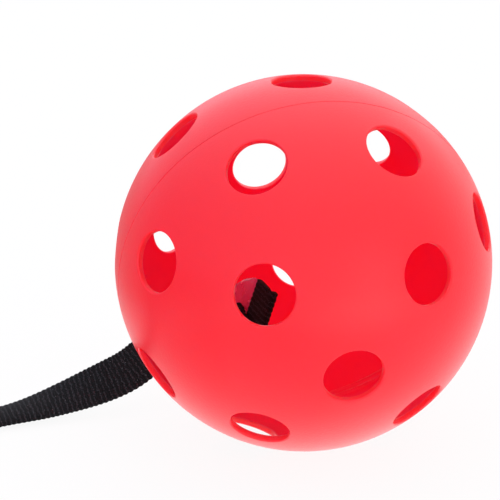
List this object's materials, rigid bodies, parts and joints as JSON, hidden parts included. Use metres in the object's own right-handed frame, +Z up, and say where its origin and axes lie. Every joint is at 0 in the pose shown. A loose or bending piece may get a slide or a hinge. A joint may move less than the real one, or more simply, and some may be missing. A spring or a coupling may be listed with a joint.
{
  "type": "perforated ball on an elastic strap",
  "caption": "Hollow perforated plastic ball of two welded halves on a flat elastic strap that is knotted inside it and ends in a sewn hand loop, for throwing and catching on a tether.",
  "frame": {"origin": "the point where the ball touches the table, straight below its centre", "axes": "+Z up through the ball's centre, +X to the right as pictured with the strap leaving towards -X, +Y away from the viewer"},
  "size_m": [0.2282, 0.072, 0.0718],
  "materials": {
    "shell": "satin",
    "strap": "woven",
    "thread": "sewn",
    "glue": "clear"
  },
  "bodies": {
    "tether": {"strap_tail": "strap", "knot_glue": "glue", "strap_knot": "strap", "strap_inner_run": "strap", "strap_run": "strap", "hand_loop": "strap", "loop_tack_front": "thread", "loop_tack_rear": "thread"},
    "ball": {"front_half_shell": "shell", "rear_half_shell": "shell", "weld_bead": "shell"}
  },
  "joints": [
    {"name": "swivel", "type": "hinge", "parent": "tether", "child": "ball", "pos_m": [0, 0, 0.036], "axis": [-0.7682, 0.307, -0.5617], "continuous": true}
  ]
}
